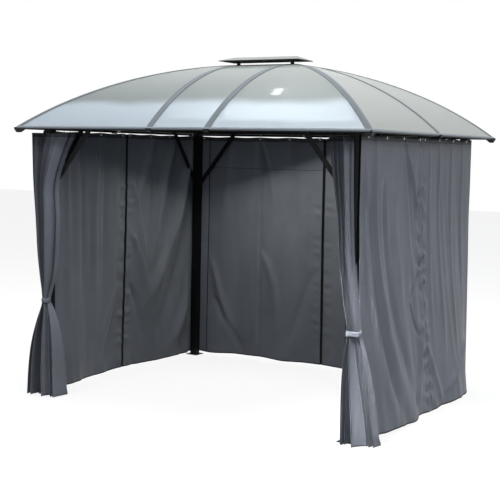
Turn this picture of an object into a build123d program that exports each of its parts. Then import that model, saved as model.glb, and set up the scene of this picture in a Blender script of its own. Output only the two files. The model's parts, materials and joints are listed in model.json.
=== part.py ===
"""Hardtop gazebo with a curved, vented roof, four posts and hung privacy curtains.

Millimetres, +Z up. The origin is on the ground in the middle of the plan, the long
sides run along X and the open side faces -Y.
"""

from build123d import *
from math import atan2, cos, degrees, hypot, pi, sin, sqrt
import os

os.makedirs("parts", exist_ok=True)

# Roof plan, heights and curve
roof_width = 2980
roof_depth = 2490
eave_height = 2086
roof_rise = 540
roof_radius = 2117

# Roof layers, outermost first
cover_thickness = 3
panel_thickness = 6
tube_height = 30

# Rib widths, layer by layer, and the play beside each panel
cover_width = 50
web_width = 8
tube_width = 40
panel_play = 1.5

# Vent in the crown of the roof and its raised cap; reaches run outward from the ends of the ridge
vent_frame_reach = 65
vent_frame_depth = 160
vent_frame_border = 80
vent_slot_depth = 110
vent_cover_overhang = 10
vent_leg_size = 22
vent_cap_reach = 115
vent_cap_depth = 250
vent_cap_gap = 26
vent_cap_ridge_reach = 40
vent_cap_rise = 36
vent_cap_edge = 5
vent_cap_wall = 3
vent_cap_rail = 22

# Eave trim: pale flashing over a black edge rail, with black caps on the corners and the ribs' ends;
# drops run down from the eave
flashing_thickness = 3
flashing_lip = 10
flashing_drop = 6
edge_rail_width = 22
edge_rail_drop = 13
mitre_gap = 1
cap_stand = 9
corner_cap_size = 62
corner_cap_toe = 26
corner_cap_drop = 24
rib_cap_width = 44
rib_cap_drop = 7

# Posts, foot plates and sleeves
post_size = 62
post_wall = 2
post_inset = 185
foot_plate_size = 120
foot_plate_thickness = 5
anchor_hole = 10
anchor_spacing = 92
sleeve_height = 160
sleeve_wall = 1.5

# Beams, curtain tracks and knee braces
beam_rise = 5
beam_height = 60
beam_wall = 2
track_width = 30
track_height = 20
track_wall = 2.5
brace_width = 32
brace_thickness = 15
brace_reach = 415
brace_drop = 487
seat_width = 40

# Curtains, zips, hooks and tie-backs
heading_gap = 29
hem_height = 25
curtain_thickness = 12
curtain_end_gap = 20
zip_width = 18
zip_thickness = 6
hook_width = 8
hook_thickness = 4
hook_from_zip = 50
hook_from_long_end = 60
hook_from_short_end = 120
hook_pitch = 305
bundle_hook_pitch = 55
bundle_hook_count = 5
tie_height = 745
tie_strap_width = 45
tie_strap_thickness = 2
tie_neck_wide = 86
tie_neck_deep = 66
curtain_clearance = 3
pleat_count = 6
pleat_depth = 0.16

# Gathered front curtains, from heading to hem: level, from 1 at the heading over 0 at the tie to -1 at
# the hem, then shift from the post towards the opening, shift forward of the track, and half width and
# half depth
bundle_left = [
    (1, 60, 15, 199, 38),
    (0.69, 0, 17, 112, 40),
    (0.31, 15, 17, 92, 46),
    (-0.45, 7, 25, 128, 74),
    (-1, 15, 30, 178, 100),
]
bundle_right = [
    (1, 70, 15, 185, 38),
    (0.69, 9, 17, 118, 40),
    (0.31, -15, 17, 92, 46),
    (-0.45, -57, 25, 95, 68),
    (-1, -73, 35, 106, 92),
]
tie_left_shift = 3
tie_right_shift = -39

# Places that follow from the sizes above
half_width = roof_width / 2
half_depth = roof_depth / 2
ridge_half = half_width - half_depth
roof_top = eave_height + roof_rise
flashing_bottom = eave_height - flashing_drop
edge_rail_bottom = eave_height - edge_rail_drop
beam_underside = eave_height + beam_rise
heading_height = beam_underside - heading_gap
vent_frame_width = 2 * (ridge_half + vent_frame_reach)
vent_slot_width = vent_frame_width - 2 * vent_frame_border
vent_cap_width = 2 * (ridge_half + vent_cap_reach)
vent_cap_ridge = 2 * (ridge_half + vent_cap_ridge_reach)
vent_cap_height = roof_top + vent_cap_gap
post_x = half_width - post_inset
post_y = half_depth - post_inset
beam_top = beam_underside + beam_height
track_line_x = post_x + post_size / 2 + track_width / 2
track_line_y = post_y + post_size / 2 + track_width / 2
tube_underside = -panel_thickness - tube_height

# Centre of the roof curve, seen from an eave: how far inward and how far below it lies
chord = hypot(half_depth, roof_rise)
centre_reach = sqrt(roof_radius**2 - (chord / 2) ** 2)
curve_inset = half_depth / 2 + centre_reach * roof_rise / chord
curve_depth = centre_reach * half_depth / chord - roof_rise / 2
curve_height = eave_height - curve_depth


def rectangle_box(width, depth, bottom, top):
    """Upright block on the centre of the plan."""
    with BuildPart() as block:
        with BuildSketch(Plane.XY.offset(bottom)):
            Rectangle(width, depth)
        extrude(amount=top - bottom)
    return block.part


def arch_line(half_span, offset):
    """Outline of the pointed arch over a span, with its curve moved outward by offset."""
    radius = roof_radius + offset
    overshoot = curve_inset - half_span
    base = edge_rail_bottom - tube_height
    foot = sqrt(radius**2 - (base - curve_height) ** 2) - overshoot
    crown = curve_height + sqrt(radius**2 - overshoot**2)
    with BuildLine() as outline:
        RadiusArc((-foot, base), (0, crown), radius)
        RadiusArc((0, crown), (foot, base), radius)
        Line((foot, base), (-foot, base))
    return outline.line


def vault(offset):
    """Everything under the roof surface once that surface is moved outward by offset."""
    with BuildPart() as solid:
        with BuildSketch(Plane.YZ):
            make_face(arch_line(half_depth, offset).edges())
        extrude(amount=roof_width, both=True)
        with BuildSketch(Plane.XZ):
            make_face(arch_line(half_width, offset).edges())
        extrude(amount=roof_depth, both=True, mode=Mode.INTERSECT)
    return solid.part


# Vaults at the face of each layer, and the curved shells between them
vault_cover = vault(cover_thickness)
vault_panel = vault(0)
vault_tube = vault(-panel_thickness)
vault_underside = vault(tube_underside)
cover_shell = vault_cover - vault_panel
panel_shell = vault_panel - vault_tube
tube_shell = vault_tube - vault_underside

# Plan of the vent frame's outer edge and of the field that the ribs fill
shell_bottom = edge_rail_bottom - tube_height
shell_top = roof_top + tube_height
vent_block = rectangle_box(vent_frame_width, vent_frame_depth, shell_bottom, shell_top)
vent_cover_block = rectangle_box(
    vent_frame_width + 2 * vent_cover_overhang,
    vent_frame_depth + 2 * vent_cover_overhang,
    shell_bottom,
    shell_top,
)
flashing_field = rectangle_box(
    roof_width - 2 * flashing_thickness, roof_depth - 2 * flashing_thickness, shell_bottom, shell_top
)
lip_field = rectangle_box(
    roof_width - 2 * flashing_lip, roof_depth - 2 * flashing_lip, shell_bottom, shell_top
)
rail_inset = flashing_thickness + edge_rail_width
rail_field = rectangle_box(
    roof_width - 2 * rail_inset, roof_depth - 2 * rail_inset, edge_rail_bottom, shell_top
)


def plan_strip(start, end, width):
    """Upright slab of the given width that stands on a plan line."""
    run_x = end[0] - start[0]
    run_y = end[1] - start[1]
    middle = ((start[0] + end[0]) / 2, (start[1] + end[1]) / 2)
    with BuildPart() as slab:
        with BuildSketch(Plane.XY.offset(shell_bottom)):
            with Locations(Location(middle, degrees(atan2(run_y, run_x)))):
                Rectangle(hypot(run_x, run_y), width)
        extrude(amount=shell_top - shell_bottom)
    return slab.part


def rib(start, end):
    """Roof rib along a plan line: cover strip, web between the panels and tube below."""
    cover = cover_shell & plan_strip(start, end, cover_width) & lip_field
    web = panel_shell & plan_strip(start, end, web_width) & flashing_field
    tube = tube_shell & plan_strip(start, end, tube_width) & rail_field
    with BuildPart() as bar:
        add(cover - vent_cover_block)
        add(web - vent_block)
        add(tube - vent_block)
    return bar.part


def save(part, name):
    """Label a finished piece and write it to its own file."""
    part.label = name
    export_step(part, f"parts/{name}.step")


# Plan lines of the ribs: hips to the corners, two ribs on each long side, one at each end
hip_lines = {
    "front_left": ((-half_width, -half_depth), (-ridge_half, 0)),
    "front_right": ((half_width, -half_depth), (ridge_half, 0)),
    "back_left": ((-half_width, half_depth), (-ridge_half, 0)),
    "back_right": ((half_width, half_depth), (ridge_half, 0)),
}
straight_lines = {
    "front": [((x, -half_depth), (x, 0)) for x in (-ridge_half, ridge_half)],
    "back": [((x, half_depth), (x, 0)) for x in (-ridge_half, ridge_half)],
    "ends": [((-half_width, 0), (-ridge_half, 0)), ((half_width, 0), (ridge_half, 0))],
}
all_rib_lines = list(hip_lines.values()) + [line for lines in straight_lines.values() for line in lines]

for corner, line in hip_lines.items():
    with BuildPart() as hip_rib:
        add(rib(*line))
    save(hip_rib.part, f"hip_rib_{corner}")

for side, lines in straight_lines.items():
    with BuildPart() as roof_ribs:
        for line in lines:
            add(rib(*line))
    save(roof_ribs.part, f"roof_ribs_{side}")

# Vent frame: a ring under the cap, with a flange that laps over the panels
vent_slot_block = rectangle_box(vent_slot_width, vent_slot_depth, shell_bottom, shell_top)
with BuildPart() as vent_frame:
    add((vault_panel - vault_underside) & vent_block)
    add(cover_shell & vent_cover_block)
    add(vent_slot_block, mode=Mode.SUBTRACT)
save(vent_frame.part, "vent_frame")

# Roof panels: the panel layer of each side, parted at the rib webs
panel_slots = [plan_strip(start, end, web_width + 2 * panel_play) for start, end in all_rib_lines]
panel_sides = {
    "front": [(-half_width, -half_depth), (half_width, -half_depth), (ridge_half, 0), (-ridge_half, 0)],
    "back": [(half_width, half_depth), (-half_width, half_depth), (-ridge_half, 0), (ridge_half, 0)],
    "left": [(-half_width, half_depth), (-half_width, -half_depth), (-ridge_half, 0)],
    "right": [(half_width, -half_depth), (half_width, half_depth), (ridge_half, 0)],
}
panel_field = rectangle_box(
    roof_width - 2 * (flashing_thickness + panel_play),
    roof_depth - 2 * (flashing_thickness + panel_play),
    shell_bottom,
    shell_top,
)
panel_vent_hole = rectangle_box(
    vent_frame_width + 2 * panel_play, vent_frame_depth + 2 * panel_play, shell_bottom, shell_top
)
for side, corners in panel_sides.items():
    with BuildPart() as roof_panels:
        with BuildSketch(Plane.XY.offset(shell_bottom)):
            with BuildLine():
                Polyline(*corners, close=True)
            make_face()
        extrude(amount=shell_top - shell_bottom)
        add(panel_shell, mode=Mode.INTERSECT)
        add(panel_field, mode=Mode.INTERSECT)
        add(panel_vent_hole, mode=Mode.SUBTRACT)
        add(panel_slots, mode=Mode.SUBTRACT)
    save(roof_panels.part, f"roof_panels_{side}")

# Eave trim, cut at the corners by mitres
mitre_cuts = [plan_strip(start, end, mitre_gap) for start, end in hip_lines.values()]
roof_block = rectangle_box(roof_width, roof_depth, flashing_bottom, shell_top)
rail_block = rectangle_box(
    roof_width - 2 * flashing_thickness, roof_depth - 2 * flashing_thickness, edge_rail_bottom, shell_top
)
with BuildPart() as eave_flashing:
    add((vault_panel & roof_block) - flashing_field)
    add((cover_shell & roof_block) - lip_field)
    add(mitre_cuts, mode=Mode.SUBTRACT)
    with BuildSketch(Plane.XY.offset(flashing_bottom)):
        with GridLocations(roof_width, roof_depth, 2, 2):
            Rectangle(2 * (flashing_thickness + mitre_gap), 2 * (flashing_thickness + mitre_gap))
    extrude(amount=roof_rise, mode=Mode.SUBTRACT)
save(eave_flashing.part, "eave_flashing")

with BuildPart() as edge_rails:
    add((vault_tube & rail_block) - rail_field)
    add(mitre_cuts, mode=Mode.SUBTRACT)
save(edge_rails.part, "edge_rails")

# Corner caps: a wedge under the eave and a stub that stands round the corner of the flashing
cap_top = eave_height + cover_thickness
with BuildPart() as eave_corner_caps:
    for plane, half_side, mode in (
        (Plane.XZ.offset(-half_depth), half_width, Mode.ADD),
        (Plane.YZ.offset(half_width), half_depth, Mode.INTERSECT),
    ):
        with BuildSketch(plane):
            with BuildLine():
                Polyline(
                    (half_side + cap_stand, edge_rail_bottom),
                    (half_side - flashing_thickness, edge_rail_bottom - corner_cap_drop),
                    (half_side - flashing_thickness - corner_cap_toe, edge_rail_bottom - corner_cap_drop),
                    (half_side + cap_stand - corner_cap_size, edge_rail_bottom),
                    close=True,
                )
            make_face()
        extrude(amount=corner_cap_size, both=True, mode=mode)
    stub = flashing_thickness + cap_stand
    with BuildSketch(Plane.XY.offset(edge_rail_bottom)):
        with Locations((half_width + cap_stand - stub / 2, half_depth + cap_stand - stub / 2)):
            Rectangle(stub, stub)
    extrude(amount=cap_top - edge_rail_bottom)
    mirror(about=Plane.XZ)
    mirror(about=Plane.YZ)
save(eave_corner_caps.part, "eave_corner_caps")

# Caps on the eave ends of the straight ribs: a plate outside the flashing and a foot under the rail
rib_cap_spots = [(x, side * half_depth, 0, side) for x in (-ridge_half, ridge_half) for side in (-1, 1)]
rib_cap_spots += [(side * half_width, 0, side, 0) for side in (-1, 1)]
rib_cap_bottom = edge_rail_bottom - rib_cap_drop
with BuildPart() as rib_end_caps:
    for x, y, out_x, out_y in rib_cap_spots:
        run = Plane((x, y, 0), x_dir=(out_x, out_y, 0), z_dir=(out_y, -out_x, 0))
        with BuildSketch(run):
            with BuildLine():
                Polyline(
                    (0, cap_top),
                    (cap_stand, cap_top),
                    (cap_stand, rib_cap_bottom),
                    (-edge_rail_width, rib_cap_bottom),
                    (-edge_rail_width, edge_rail_bottom),
                    (0, edge_rail_bottom),
                    close=True,
                )
            make_face()
        extrude(amount=rib_cap_width / 2, both=True)
save(rib_end_caps.part, "rib_end_caps")


def square_tube(size, wall, bottom, top, x, y):
    """Upright square tube."""
    with BuildPart() as tube:
        with BuildSketch(Plane.XY.offset(bottom)):
            with Locations((x, y)):
                Rectangle(size, size)
                Rectangle(size - 2 * wall, size - 2 * wall, mode=Mode.SUBTRACT)
        extrude(amount=top - bottom)
    return tube.part


# Posts, with a foot plate below and a sleeve at the head of each
corner_names = {
    "front_left": (-post_x, -post_y),
    "front_right": (post_x, -post_y),
    "back_left": (-post_x, post_y),
    "back_right": (post_x, post_y),
}
for corner, (x, y) in corner_names.items():
    with BuildPart() as post:
        add(square_tube(post_size, post_wall, foot_plate_thickness, beam_underside, x, y))
    save(post.part, f"post_{corner}")

with BuildPart() as foot_plates:
    with BuildSketch():
        with GridLocations(2 * post_x, 2 * post_y, 2, 2):
            Rectangle(foot_plate_size, foot_plate_size)
            with GridLocations(anchor_spacing, 0, 2, 1):
                Circle(anchor_hole / 2, mode=Mode.SUBTRACT)
    extrude(amount=foot_plate_thickness)
save(foot_plates.part, "foot_plates")

with BuildPart() as post_sleeves:
    for x, y in corner_names.values():
        add(
            square_tube(
                post_size + 2 * sleeve_wall, sleeve_wall, beam_underside - sleeve_height, beam_underside, x, y
            )
        )
save(post_sleeves.part, "post_sleeves")

# Beams: the long pair runs through over the posts, the short pair fits between it
long_beam_length = 2 * post_x + post_size
short_beam_length = 2 * post_y - post_size


def beam(plane, length):
    """Rectangular tube of the given length, centred on a plane across its run."""
    with BuildPart() as tube:
        with BuildSketch(plane):
            Rectangle(post_size, beam_height)
            Rectangle(post_size - 2 * beam_wall, beam_height - 2 * beam_wall, mode=Mode.SUBTRACT)
        extrude(amount=length / 2, both=True)
    return tube.part


beam_middle = beam_underside + beam_height / 2
beam_runs = {
    "front": (Plane.YZ, (0, -post_y, beam_middle), long_beam_length),
    "back": (Plane.YZ, (0, post_y, beam_middle), long_beam_length),
    "left": (Plane.XZ, (-post_x, 0, beam_middle), short_beam_length),
    "right": (Plane.XZ, (post_x, 0, beam_middle), short_beam_length),
}
for side, (section, middle, length) in beam_runs.items():
    with BuildPart() as beam_tube:
        add(beam(Plane(middle, x_dir=section.x_dir, z_dir=section.z_dir), length))
    save(beam_tube.part, f"beam_{side}")

# Curtain tracks: hollow rails on the outer faces of the beams
with BuildPart() as curtain_tracks:
    track_top = beam_underside + track_height
    for sx, sy in ((0, -1), (0, 1), (-1, 0), (1, 0)):
        along_x = sx == 0
        middle = (sx * track_line_x, sy * track_line_y, beam_underside + track_height / 2)
        length = 2 * (track_line_x + track_width / 2) if along_x else 2 * (track_line_y - track_width / 2)
        length = length if along_x else length - 2 * mitre_gap
        across, run = ((0, 1, 0), (1, 0, 0)) if along_x else ((1, 0, 0), (0, -1, 0))
        with BuildSketch(Plane(middle, x_dir=across, z_dir=run)):
            Rectangle(track_width, track_height)
            Rectangle(track_width - 2 * track_wall, track_height - 2 * track_wall, mode=Mode.SUBTRACT)
        extrude(amount=length / 2, both=True)
save(curtain_tracks.part, "curtain_tracks")

# Rafter seats: blocks on the beams that carry the ribs, shaped to their underside
seat_spots = [(x, y) for x in (-ridge_half, ridge_half) for y in (-post_y, post_y)]
seat_spots += [(x, 0) for x in (-post_x, post_x)]
seat_spots += list(corner_names.values())
with BuildPart() as rafter_seats:
    with BuildSketch(Plane.XY.offset(beam_top)):
        with Locations(*seat_spots):
            Rectangle(seat_width, seat_width)
    extrude(amount=roof_rise)
    add(vault_underside, mode=Mode.INTERSECT)
save(rafter_seats.part, "rafter_seats")


def knee_brace(plane, half_span):
    """Sloping brace in an upright plane, from the post at -half_span to the beam over it."""
    face = half_span - post_size / 2
    foot = beam_underside - brace_drop
    slope = hypot(brace_reach - post_size / 2, brace_drop)
    rise_cut = brace_width * slope / (brace_reach - post_size / 2)
    run_cut = brace_width * slope / brace_drop
    head = half_span - brace_reach
    with BuildPart() as bar:
        with BuildSketch(plane):
            with BuildLine():
                Polyline(
                    (-face, foot),
                    (-face, foot + rise_cut),
                    (-head - run_cut, beam_underside),
                    (-head, beam_underside),
                    close=True,
                )
            make_face()
        extrude(amount=brace_thickness / 2, both=True)
    return bar.part


brace_planes = {
    "front": (Plane((0, -post_y, 0), x_dir=(1, 0, 0), z_dir=(0, -1, 0)), post_x, Plane.YZ),
    "back": (Plane((0, post_y, 0), x_dir=(1, 0, 0), z_dir=(0, -1, 0)), post_x, Plane.YZ),
    "left": (Plane((-post_x, 0, 0), x_dir=(0, 1, 0), z_dir=(1, 0, 0)), post_y, Plane.XZ),
    "right": (Plane((post_x, 0, 0), x_dir=(0, 1, 0), z_dir=(1, 0, 0)), post_y, Plane.XZ),
}
for side, (plane, half_span, mirror_plane) in brace_planes.items():
    with BuildPart() as knee_braces:
        add(knee_brace(plane, half_span))
        mirror(about=mirror_plane)
    save(knee_braces.part, f"knee_braces_{side}")

# Vent cap: two legs, a ring of rail under its edge and a low hipped lid
with BuildPart() as vent_cap_legs:
    with BuildSketch(Plane.XY.offset(roof_top - tube_height)):
        with GridLocations(2 * ridge_half, 0, 2, 1):
            Rectangle(vent_leg_size, vent_leg_size)
    extrude(amount=vent_cap_height - roof_top + tube_height)
    add(vault_cover, mode=Mode.SUBTRACT)
save(vent_cap_legs.part, "vent_cap_legs")

with BuildPart() as vent_cap_frame:
    with BuildSketch(Plane.XY.offset(vent_cap_height)):
        Rectangle(vent_cap_width, vent_cap_depth)
        Rectangle(
            vent_cap_width - 2 * vent_cap_rail, vent_cap_depth - 2 * vent_cap_rail, mode=Mode.SUBTRACT
        )
        with GridLocations(2 * ridge_half, 0, 2, 1):
            Rectangle(vent_leg_size, vent_cap_depth - 2 * vent_cap_rail)
    extrude(amount=vent_cap_edge)
save(vent_cap_frame.part, "vent_cap_frame")


def hipped_lid(shrink):
    """Low hipped block over the cap's plan, drawn in by shrink on every side."""
    base = vent_cap_height + vent_cap_edge
    top = vent_cap_height + vent_cap_rise - shrink
    with BuildPart() as lid:
        for plane, foot, head, mode in (
            (Plane.YZ, vent_cap_depth / 2 - shrink, vent_cap_wall / 2, Mode.ADD),
            (Plane.XZ, vent_cap_width / 2 - shrink, vent_cap_ridge / 2, Mode.INTERSECT),
        ):
            with BuildSketch(plane):
                with BuildLine():
                    Polyline((-foot, base), (-head, top), (head, top), (foot, base), close=True)
                make_face()
            extrude(amount=vent_cap_width, both=True, mode=mode)
    return lid.part


with BuildPart() as vent_cap_lid:
    add(hipped_lid(0))
    add(hipped_lid(vent_cap_wall), mode=Mode.SUBTRACT)
save(vent_cap_lid.part, "vent_cap_lid")

# Closed curtains: two halves to a wall, which meet at an upright zip tape
curtain_top = heading_height
zip_half = zip_width / 2


def curtain_half(plane, side, half_length):
    """Flat hanging sheet from the zip to the corner, on an upright plane."""
    with BuildPart() as sheet:
        with BuildSketch(plane):
            middle = side * (zip_half + half_length) / 2
            with Locations((middle, (hem_height + curtain_top) / 2)):
                Rectangle(half_length - zip_half, curtain_top - hem_height)
        extrude(amount=curtain_thickness / 2, both=True)
    return sheet.part


long_half = track_line_x - curtain_end_gap
short_half = track_line_y - curtain_end_gap
back_plane = Plane((0, track_line_y, 0), x_dir=(1, 0, 0), z_dir=(0, -1, 0))
left_plane = Plane((-track_line_x, 0, 0), x_dir=(0, 1, 0), z_dir=(1, 0, 0))
right_plane = Plane((track_line_x, 0, 0), x_dir=(0, 1, 0), z_dir=(1, 0, 0))
closed_curtains = {
    "back_left": (back_plane, -1, long_half),
    "back_right": (back_plane, 1, long_half),
    "left_front": (left_plane, -1, short_half),
    "left_back": (left_plane, 1, short_half),
    "right_front": (right_plane, -1, short_half),
    "right_back": (right_plane, 1, short_half),
}
for name, (plane, side, half_length) in closed_curtains.items():
    with BuildPart() as curtain:
        add(curtain_half(plane, side, half_length))
    save(curtain.part, f"curtain_{name}")

with BuildPart() as zip_tapes:
    for plane in (back_plane, left_plane, right_plane):
        with BuildSketch(plane):
            with Locations((0, (hem_height + curtain_top) / 2)):
                Rectangle(zip_width, curtain_top - hem_height)
        extrude(amount=zip_thickness / 2, both=True)
save(zip_tapes.part, "zip_tapes")

# Front curtains, drawn aside and gathered in a tie against the front posts
tie_y = -(post_y + post_size / 2 + tie_strap_thickness + tie_neck_deep / 2)
neck_heights = (tie_height + tie_strap_width / 2, tie_height - tie_strap_width / 2)
post_cut = post_size + 2 * (sleeve_wall + curtain_clearance)
wall_cut = curtain_thickness + 2 * curtain_clearance
front_bundles = {"left": (-1, bundle_left, tie_left_shift), "right": (1, bundle_right, tie_right_shift)}


def ring_outline(middle, half_wide, half_deep, dip=0):
    """Points round an ellipse, two to a pleat, with every second one drawn in by the share dip."""
    count = 2 * pleat_count
    points = []
    for i in range(count):
        reach = 1 - dip * (i % 2)
        angle = 2 * pi * i / count
        x = middle[0] + half_wide * reach * cos(angle)
        y = middle[1] + half_deep * reach * sin(angle)
        points.append((x, y))
    return points


def bundle_sections(side, levels, tie_shift):
    """Heights, middles and half sizes of a gathered curtain, from its hem to its heading."""
    sections = []
    for level, shift, forward, half_wide, half_deep in levels:
        span = heading_height - tie_height if level > 0 else tie_height - hem_height
        middle = (side * (post_x - shift), -track_line_y - forward)
        sections.append((tie_height + level * span, middle, half_wide, half_deep))
    for height in neck_heights:
        sections.append((height, (side * (post_x - tie_shift), tie_y), tie_neck_wide / 2, tie_neck_deep / 2))
    return sorted(sections)


for name, (side, levels, tie_shift) in front_bundles.items():
    with BuildPart() as bundle:
        for height, middle, half_wide, half_deep in bundle_sections(side, levels, tie_shift):
            with BuildSketch(Plane.XY.offset(height)):
                with BuildLine():
                    Polyline(*ring_outline(middle, half_wide, half_deep, pleat_depth), close=True)
                make_face()
        loft(ruled=True)
        with BuildSketch():
            with Locations((side * post_x, -post_y)):
                Rectangle(post_cut, post_cut)
            with Locations((side * track_line_x, -(short_half - post_inset / 2 + curtain_clearance))):
                Rectangle(wall_cut, post_inset)
        extrude(amount=beam_underside, mode=Mode.SUBTRACT)
    save(bundle.part, f"front_curtain_{name}")

with BuildPart() as tie_backs:
    for side, levels, tie_shift in front_bundles.values():
        tie_middle = (side * (post_x - tie_shift), tie_y)
        with BuildSketch(Plane.XY.offset(tie_height - tie_strap_width / 2)):
            for growth, mode in ((tie_strap_thickness, Mode.ADD), (0, Mode.SUBTRACT)):
                with BuildLine():
                    half_sizes = (tie_neck_wide / 2 + growth, tie_neck_deep / 2 + growth)
                    Polyline(*ring_outline(tie_middle, *half_sizes), close=True)
                make_face(mode=mode)
        extrude(amount=tie_strap_width)
save(tie_backs.part, "tie_backs")


def hook_spots(half_length, from_end):
    """Distances from the zip of the hooks on one half of a wall, evenly spread and near the pitch."""
    run = half_length - hook_from_zip - from_end
    gaps = round(run / hook_pitch)
    return [hook_from_zip + i * run / gaps for i in range(gaps + 1)]


# Curtain hooks, from the track down to the heading
long_spots = hook_spots(long_half, hook_from_long_end)
short_spots = hook_spots(short_half, hook_from_short_end)
bundle_spots = [track_line_x - hook_from_zip - i * bundle_hook_pitch for i in range(bundle_hook_count)]
hook_rows = {
    "back": [(s * spot, track_line_y) for spot in long_spots for s in (-1, 1)],
    "left": [(-track_line_x, s * spot) for spot in short_spots for s in (-1, 1)],
    "right": [(track_line_x, s * spot) for spot in short_spots for s in (-1, 1)],
    "front": [(s * spot, -track_line_y) for spot in bundle_spots for s in (-1, 1)],
}
for side, spots in hook_rows.items():
    with BuildPart() as hooks:
        with BuildSketch(Plane.XY.offset(curtain_top)):
            with Locations(*spots):
                Rectangle(hook_width, hook_thickness)
        extrude(amount=beam_underside - curtain_top)
    save(hooks.part, f"curtain_hooks_{side}")
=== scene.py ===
"""Looks of the hardtop gazebo: painted frame, smoked roof sheets and hung curtains, in metres."""

import json
from math import cos, pi, radians, sin

import bpy
import numpy as np
from mathutils import Matrix, Vector


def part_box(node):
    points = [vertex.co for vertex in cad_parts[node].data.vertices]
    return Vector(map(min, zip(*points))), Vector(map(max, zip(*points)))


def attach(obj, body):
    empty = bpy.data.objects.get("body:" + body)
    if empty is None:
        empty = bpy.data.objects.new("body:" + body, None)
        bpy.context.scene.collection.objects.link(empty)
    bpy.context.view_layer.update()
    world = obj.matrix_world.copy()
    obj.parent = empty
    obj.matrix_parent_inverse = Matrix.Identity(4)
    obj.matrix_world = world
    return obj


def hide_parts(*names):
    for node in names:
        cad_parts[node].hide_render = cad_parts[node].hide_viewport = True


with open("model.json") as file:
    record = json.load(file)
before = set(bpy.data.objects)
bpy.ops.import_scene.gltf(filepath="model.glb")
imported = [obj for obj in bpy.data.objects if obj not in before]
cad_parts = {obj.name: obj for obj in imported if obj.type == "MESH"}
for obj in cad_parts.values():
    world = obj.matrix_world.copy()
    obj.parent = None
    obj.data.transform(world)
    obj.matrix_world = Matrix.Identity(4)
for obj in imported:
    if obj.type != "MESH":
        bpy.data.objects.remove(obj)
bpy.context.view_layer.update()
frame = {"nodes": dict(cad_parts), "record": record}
nodes = frame["nodes"]
scene = bpy.context.scene

# Camera, fitted to the photograph's perspective
LENS = 80.75
SENSOR_WIDTH = 36
CAMERA_PLACE = Vector((4.4355, -7.8465, 1.9454))
CAMERA_YAW = radians(30.058)
CAMERA_PITCH = radians(5.072)
CAMERA_ROLL = radians(1.166)

# Closed walls
CLOTH_THICKNESS = 0.0012
COLUMN_STEP = 0.012
ROW_STEP = 0.016
HEADING_BAND = 0.037
HEADING_RISE = 0.004
HEADING_SAG = 0.005
HEM_WAVE_HEIGHT = 0.005
CREASE_DROPS = (0.285, 0.99)
PUCKER_SPREAD = 0.055
SWING_START = 0.22
WALL_INWARD_LIMIT = 0.08
CORNER_INWARD_LIMIT = 0.004

# Waves in the cloth: width and height
BROAD_WAVES = (0.30, 2.4)
SMALL_WAVES = (0.12, 0.8)
PUCKER_WAVES = (0.4, 0.10)
HEM_WAVES = (0.45, 9.0)
HEM_LEVEL_WAVES = (0.5, 9.0)
WRINKLE_WAVES = (0.12, 0.6)
CRUMPLE_WAVES = (0.16, 0.09)

# Tapes on the walls: points along, half width, then back and front, outward of the cloth's middle
ZIP_TAPE = (130, 0.0125, -0.0030, -0.0007)
HEM_TAPE = (90, 0.004, -0.0014, 0.0014)
PIPING_TAPE = (110, 0.0036, -0.0024, 0.0012)
SEAM_TAPE = (80, 0.0014, -0.0011, 0.0)
FLAP_TAPE = (150, 0.021, 0.0007, 0.0019)
TAPE_MARGIN = 0.002
PIPING_INSET = 0.13
HEM_START = 0.012
SEAM_START = 0.013
FLAP_START = 0.001

# Hooks and eyelets; the wire's bends go outward and up from the glider's foot or the eyelet's middle
HOOK_REACH = 0.03
GLIDER_HALF_WIDTH = 0.007
GLIDER_DROP = 0.008
GLIDER_RISE = 0.003
WIRE_RADIUS = 0.0016
NECK_BENDS = ((0, 0), (0.004, -0.008))
EYELET_BENDS = ((0.007, 0.008), (0.006, -0.003), (0, -0.005), (-0.007, 0.004))
EYELET_DROP = 0.014
EYELET_RADIUS = 0.0075
EYELET_WIRE = 0.0028

# Tied front curtains
BUNDLE_CLOTH_WIDTH = 1.31
BUNDLE_COLUMNS = 280
BUNDLE_ROWS = 130
BUNDLE_SEED = 3
TIE_LEVEL = 0.745
PLEAT_LEAN = 0.19
WRINKLE_HEIGHT = 0.0010
WRINKLE_RUN = 1.3
STRAP_THICKNESS = 0.0025
STRAP_STEPS = 48
STRAP_ROWS = 7
STRAP_FOOT = 0.010
STRAP_GAP = 0.005
STRAP_BULGE = 0.003
STRAP_TILT = 0.002
STRAP_LENGTH = 0.3
STRAP_WIDTH = 0.045
STRAP_DEPTH_SHARE = 1.1
FRONT_HOOKS = 5
OUTER_HOOK_INSET = 0.004
INNER_HOOK_INSET = 0.02
FRONT_HEADING_DROP = 0.01

# Wrinkles of a strap: height, number round it, twist from edge to edge and start
STRAP_WRINKLES = ((0.0012, 9, 3, 0), (0.001, 17, 0, 2))

# Colours, as linear values; a sheet's lower colour, a painted sky reflection, ends at a share of its
# height, moved by noise
CLOTH_GREY = (0.160, 0.172, 0.204)
# Heading band darkened: painted shade under the track
HEADING_SHADE_GREY = (0.060, 0.064, 0.072)
ZIP_DARK = (0.003, 0.003, 0.004)
ZIP_LIGHT = (0.010, 0.010, 0.012)
FRAME_BLACK = (0.0050, 0.0055, 0.0070)
CORNER_BLACK = (0.008, 0.008, 0.009)
HOOK_BLACK = (0.010, 0.010, 0.011)
EYELET_SILVER = (0.80, 0.80, 0.78)
RIB_GREY = (0.062, 0.078, 0.088)
CAP_GREY = (0.112, 0.120, 0.118)
FLASHING_GREY = (0.130, 0.150, 0.170)
# Roof sheet: painted sky reflection along the eave; the end sheets get a paler painted colour by their
# facing
SHEET_SKY_REFLECTION = (0.440, 0.510, 0.570)
SHEET_BAND = (0.190, 0.225, 0.228)
SHEET_HIGH = (0.255, 0.290, 0.280)
SHEET_END_PAINTED_LIGHT = (0.320, 0.350, 0.340)
SHEET_BAND_SHARE = 0.36
SHEET_REFLECTION_EDGE_NOISE = 0.16

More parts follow.
